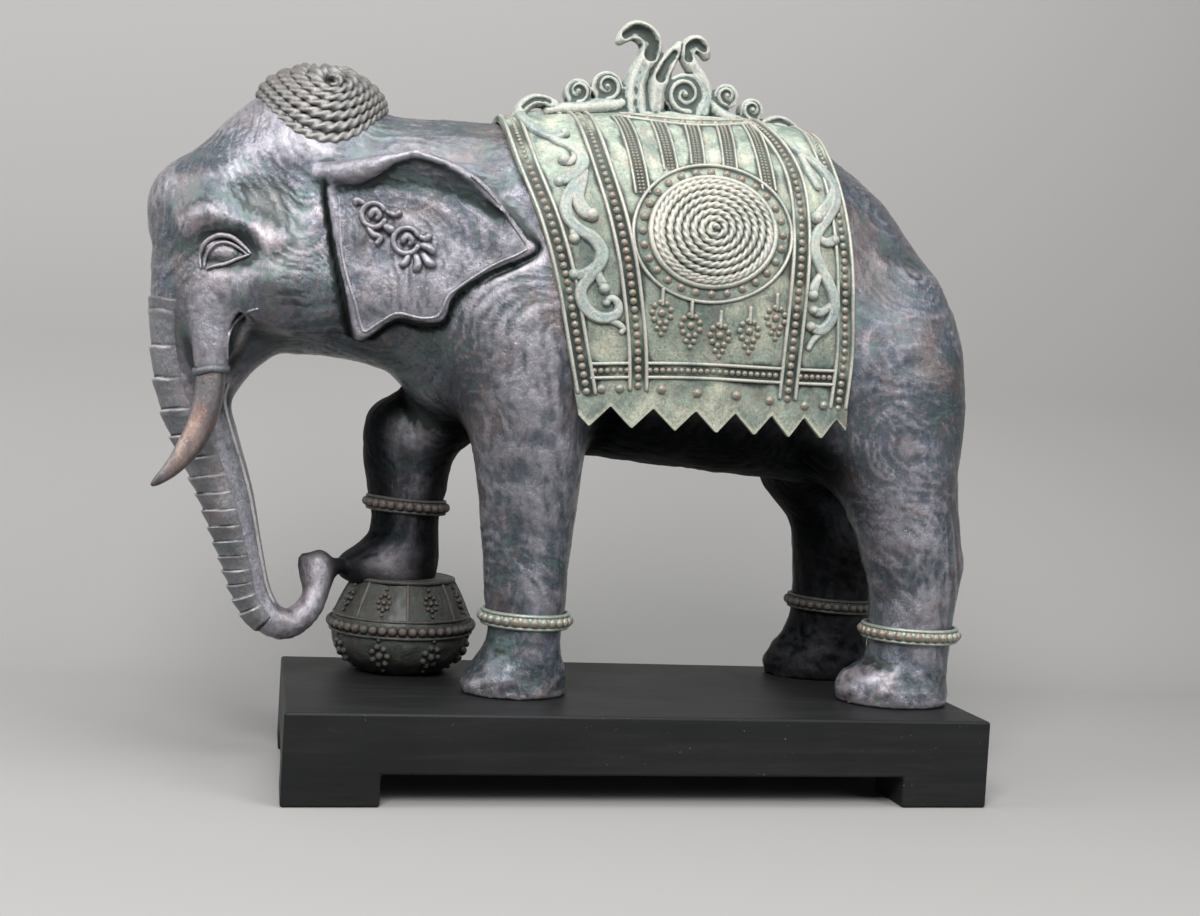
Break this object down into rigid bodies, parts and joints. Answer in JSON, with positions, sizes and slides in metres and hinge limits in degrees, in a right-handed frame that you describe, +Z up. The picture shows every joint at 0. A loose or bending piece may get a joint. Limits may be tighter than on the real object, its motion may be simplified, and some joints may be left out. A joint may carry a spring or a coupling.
{
  "type": "elephant statue",
  "caption": "Cast resin elephant in a saddle cloth with a crest, one forefoot resting on a pot, standing on a low footed plinth.",
  "frame": {"origin": "middle of the statue's overall box, on the surface it stands on", "axes": "+X from the head to the rump along the plinth's length, +Y away from the side shown, +Z up"},
  "size_m": [0.5816, 0.212, 0.5303],
  "materials": {
    "elephant": "satin bronze-look patina, verdigris in the hollows and copper wear on the ridges",
    "tusks": "satin copper-brown patina",
    "plinth": "satin black paint"
  },
  "bodies": {
    "root": {"elephant": "elephant", "tusk_left": "tusks", "tusk_right": "tusks", "plinth": "plinth"}
  },
  "joints": []
}
